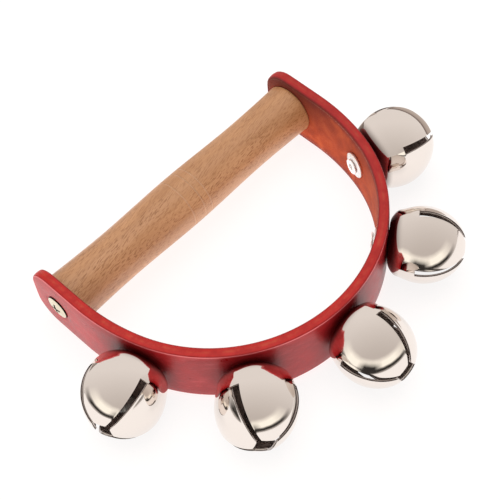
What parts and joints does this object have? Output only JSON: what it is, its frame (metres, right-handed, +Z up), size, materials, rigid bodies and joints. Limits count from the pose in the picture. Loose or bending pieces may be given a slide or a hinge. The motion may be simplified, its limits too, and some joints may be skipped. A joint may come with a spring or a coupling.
{
  "type": "hand sleigh bells",
  "caption": "Hand sleigh bells: a turned wooden grip, a D-shaped red leather strap screwed to its ends, and riveted cross-slot jingle bells with loose steel balls.",
  "frame": {"origin": "centre of the handle", "axes": "+X along the handle, -Y towards the middle bell, Z across the strap's width; the instrument lies flat on its bells with +Z up"},
  "size_m": [0.1666, 0.1177, 0.03],
  "materials": {
    "handle": "sealed beech, satin, with short dark flecks along the grain",
    "strap": "thick leather, red coated outside and on the edges, bare tan flesh side inside",
    "bell": "bright nickel plate, mirror polished",
    "ball": "plain steel ball",
    "rivet": "nickel-plated steel",
    "washer": "nickel-plated steel, polished",
    "screw": "yellow-passivated steel, bright"
  },
  "bodies": {
    "frame": {"handle": "handle", "strap": "strap", "screw_left": "screw", "screw_right": "screw", "rivet_1": "rivet", "rivet_2": "rivet", "rivet_3": "rivet", "rivet_4": "rivet", "rivet_5": "rivet", "rivet_washer_1": "washer", "rivet_washer_2": "washer", "rivet_washer_3": "washer", "rivet_washer_4": "washer", "rivet_washer_5": "washer"},
    "bell_1": {"bell_shell_1": "bell"},
    "ball_1": {"clapper_1": "ball"},
    "bell_2": {"bell_shell_2": "bell"},
    "ball_2": {"clapper_2": "ball"},
    "bell_3": {"bell_shell_3": "bell"},
    "ball_3": {"clapper_3": "ball"},
    "bell_4": {"bell_shell_4": "bell"},
    "ball_4": {"clapper_4": "ball"},
    "bell_5": {"bell_shell_5": "bell"},
    "ball_5": {"clapper_5": "ball"}
  },
  "joints": [
    {"name": "bell_1_swivel", "type": "hinge", "parent": "frame", "child": "bell_1", "pos_m": [-0.06829, -0.04156, 0], "axis": [-0.9491, -0.3151, 0], "continuous": true},
    {"name": "ball_1_roll", "type": "hinge", "parent": "bell_1", "child": "ball_1", "pos_m": [-0.06829, -0.04156, 0], "axis": [-0.9491, -0.3151, 0], "continuous": true},
    {"name": "bell_2_swivel", "type": "hinge", "parent": "frame", "child": "bell_2", "pos_m": [-0.04211, -0.07724, 0], "axis": [-0.5852, -0.8109, 0], "continuous": true},
    {"name": "ball_2_roll", "type": "hinge", "parent": "bell_2", "child": "ball_2", "pos_m": [-0.04211, -0.07724, 0], "axis": [-0.5852, -0.8109, 0], "continuous": true},
    {"name": "bell_3_swivel", "type": "hinge", "parent": "frame", "child": "bell_3", "pos_m": [0, -0.09085, 0], "axis": [0, -1, 0], "continuous": true},
    {"name": "ball_3_roll", "type": "hinge", "parent": "bell_3", "child": "ball_3", "pos_m": [0, -0.09085, 0], "axis": [0, -1, 0], "continuous": true},
    {"name": "bell_4_swivel", "type": "hinge", "parent": "frame", "child": "bell_4", "pos_m": [0.04211, -0.07724, 0], "axis": [0.5852, -0.8109, 0], "continuous": true},
    {"name": "ball_4_roll", "type": "hinge", "parent": "bell_4", "child": "ball_4", "pos_m": [0.04211, -0.07724, 0], "axis": [0.5852, -0.8109, 0], "continuous": true},
    {"name": "bell_5_swivel", "type": "hinge", "parent": "frame", "child": "bell_5", "pos_m": [0.06829, -0.04156, 0], "axis": [0.9491, -0.3151, 0], "continuous": true},
    {"name": "ball_5_roll", "type": "hinge", "parent": "bell_5", "child": "ball_5", "pos_m": [0.06829, -0.04156, 0], "axis": [0.9491, -0.3151, 0], "continuous": true}
  ]
}
